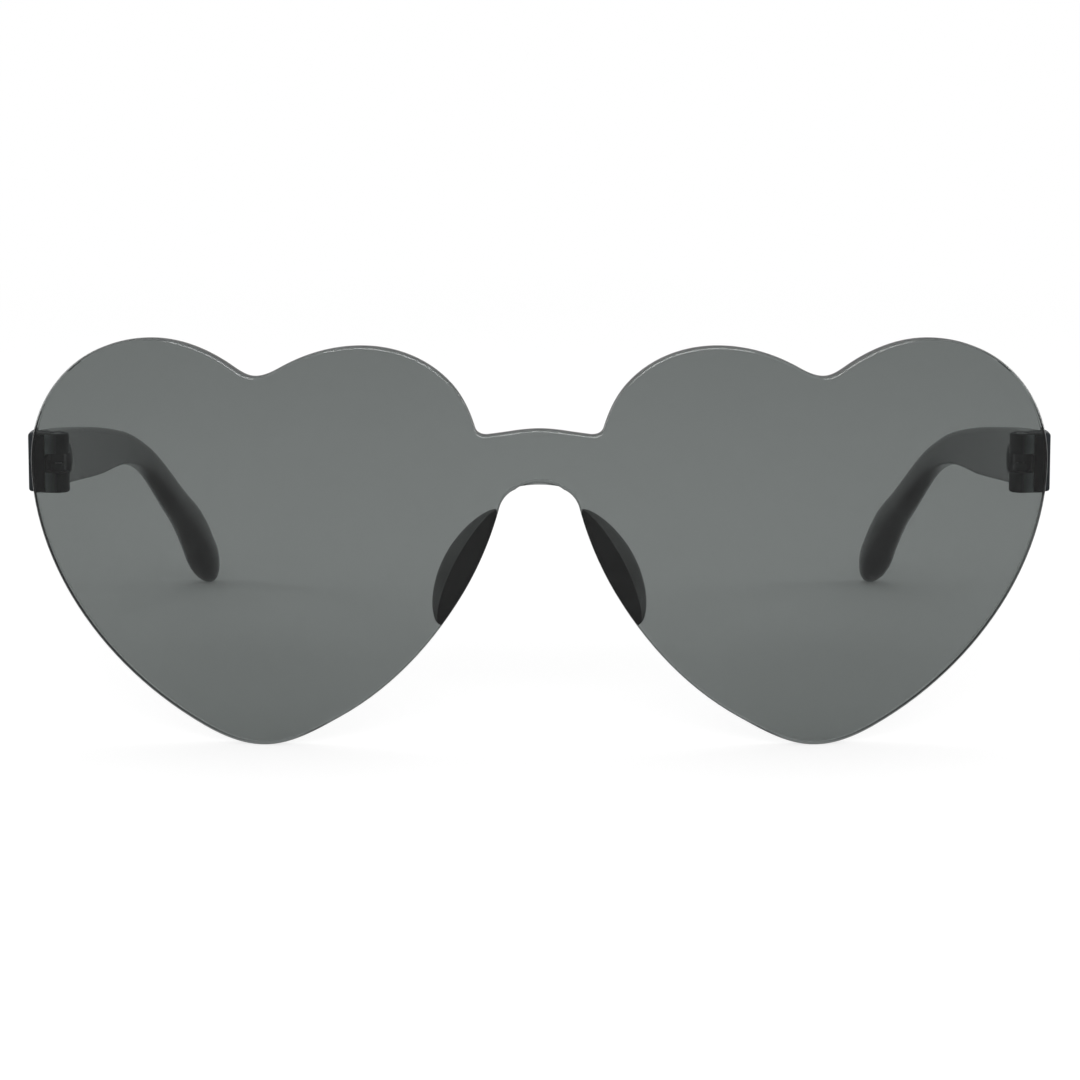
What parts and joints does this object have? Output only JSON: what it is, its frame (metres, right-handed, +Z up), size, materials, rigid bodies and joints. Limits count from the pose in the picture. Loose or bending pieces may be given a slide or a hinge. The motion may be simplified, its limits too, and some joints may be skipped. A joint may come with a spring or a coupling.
{
  "type": "heart shaped sunglasses",
  "caption": "Rimless sunglasses with a one-piece tinted lens shaped as two hearts, moulded hinge blocks, folding temples and bonded nose pads.",
  "frame": {"origin": "on the ground the glasses stand on, under the middle of their bounding box", "axes": "+X is the wearer's left, +Y runs from the lens back to the temple tips, +Z is up"},
  "size_m": [0.15, 0.1406, 0.0595],
  "materials": {
    "lens": "clear polycarbonate with a smoke tint, polished",
    "hinge_block": "near-black moulding, slight gloss",
    "temple": "near-black moulding, polished",
    "screw": "plain bright steel",
    "pad": "near-black moulding, smooth"
  },
  "bodies": {
    "front": {"lens_front": "lens", "end_piece_left": "hinge_block", "end_piece_right": "hinge_block", "hinge_screw_left": "screw", "hinge_screw_right": "screw", "nose_pad_left": "pad", "nose_pad_right": "pad"},
    "left_arm": {"temple_left": "temple"},
    "right_arm": {"temple_right": "temple"}
  },
  "joints": [
    {"name": "left_hinge", "type": "hinge", "parent": "front", "child": "left_arm", "pos_m": [0.0705, -0.05808, 0.04052], "axis": [0, 0, 1], "range_deg": [0, 85]},
    {"name": "right_hinge", "type": "hinge", "parent": "front", "child": "right_arm", "pos_m": [-0.0705, -0.05808, 0.04052], "axis": [0, 0, -1], "range_deg": [0, 78]}
  ]
}
